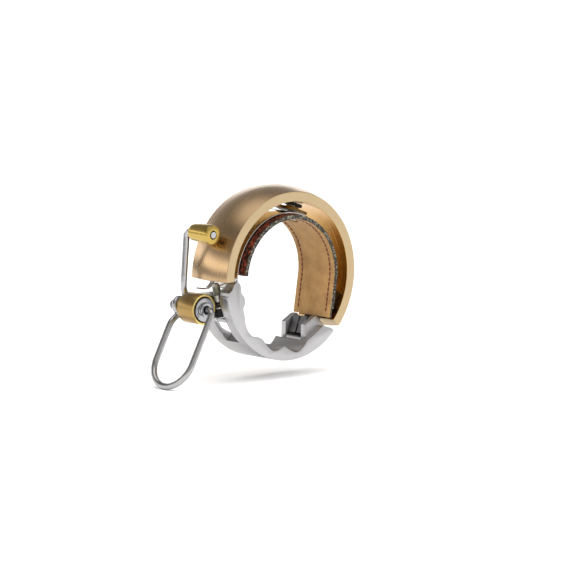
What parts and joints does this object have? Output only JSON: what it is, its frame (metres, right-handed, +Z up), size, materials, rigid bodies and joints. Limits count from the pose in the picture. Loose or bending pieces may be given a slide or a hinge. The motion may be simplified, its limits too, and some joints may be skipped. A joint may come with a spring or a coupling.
{
  "type": "bicycle bell",
  "caption": "Wrap-round handlebar bell: brushed brass C-ring on a leather-lined steel band, hinged aluminium clamp, sprung wire lever with a brass hammer.",
  "frame": {"origin": "on the handlebar's axis, in the middle of the bell's width", "axes": "+Y along the handlebar towards the rear of the bell, +Z up as the bell stands on its thumb loop, +X to the right seen from the bell's front rim; the lever and hammer are on the -X side"},
  "size_m": [0.0664, 0.0191, 0.0553],
  "materials": {
    "bell_brass": "circumferentially brushed, matt lacquered, rims machined",
    "hammer_brass": "turned and polished",
    "barrel_brass": "turned, satin",
    "lining_leather": "undyed suede, stitched",
    "backing_leather": "dark oiled grain leather",
    "band_steel": "polished spring steel",
    "clamp_aluminium": "die cast, tumbled",
    "lever_steel": "drawn stainless wire, bright",
    "bush_steel": "turned bright steel",
    "fastener_steel": "zinc plated",
    "dark_steel": "black oxide",
    "spring_steel": "bright spring wire",
    "isolator_rubber": "moulded, matt"
  },
  "bodies": {
    "bell_body": {"leather_lining": "lining_leather", "leather_backing": "backing_leather", "mount_band": "band_steel", "band_screw": "fastener_steel", "bell_post": "fastener_steel", "isolator_washer": "isolator_rubber", "bell_shell": "bell_brass", "hinge_tongue": "dark_steel", "tongue_rivet_1": "fastener_steel", "tongue_rivet_2": "fastener_steel", "band_nut": "fastener_steel", "nut_rivet": "fastener_steel"},
    "clamp": {"lower_clamp": "clamp_aluminium", "hinge_pin": "fastener_steel", "pivot_barrel": "barrel_brass", "barrel_screw": "fastener_steel", "pivot_bush": "bush_steel", "pivot_pin": "fastener_steel", "torsion_spring": "spring_steel"},
    "lever": {"lever_wire": "lever_steel", "hammer": "hammer_brass"},
    "washer": {"bolt_washer": "fastener_steel"},
    "bolt": {"clamp_bolt": "dark_steel"}
  },
  "joints": [
    {"name": "lever_pivot", "type": "hinge", "parent": "clamp", "child": "lever", "pos_m": [-0.0282, 0, -0.00729], "axis": [0, 1, 0], "range_deg": [-40, 3.6], "stiffness_Nm_per_rad": 0.02, "deforming": ["torsion_spring"]},
    {"name": "clamp_hinge", "type": "hinge", "parent": "bell_body", "child": "clamp", "pos_m": [0.012, 0, -0.0156], "axis": [0, 1, 0], "range_deg": [-4, 0]},
    {"name": "bolt_travel", "type": "slide", "parent": "bell_body", "child": "washer", "axis": [0.1908, 0, -0.9816], "range_m": [0, 0.0023]},
    {"name": "bolt_spin", "type": "hinge", "parent": "washer", "child": "bolt", "pos_m": [-0.02218, -0.00105, -0.00431], "axis": [0.1908, 0, -0.9816], "range_deg": [0, 1800]}
  ],
  "couplings": [
    {"joint": "bolt_travel", "follows": "clamp_hinge", "m_per_rad": -0.0314},
    {"joint": "bolt_spin", "follows": "clamp_hinge", "ratio": -438.4}
  ]
}
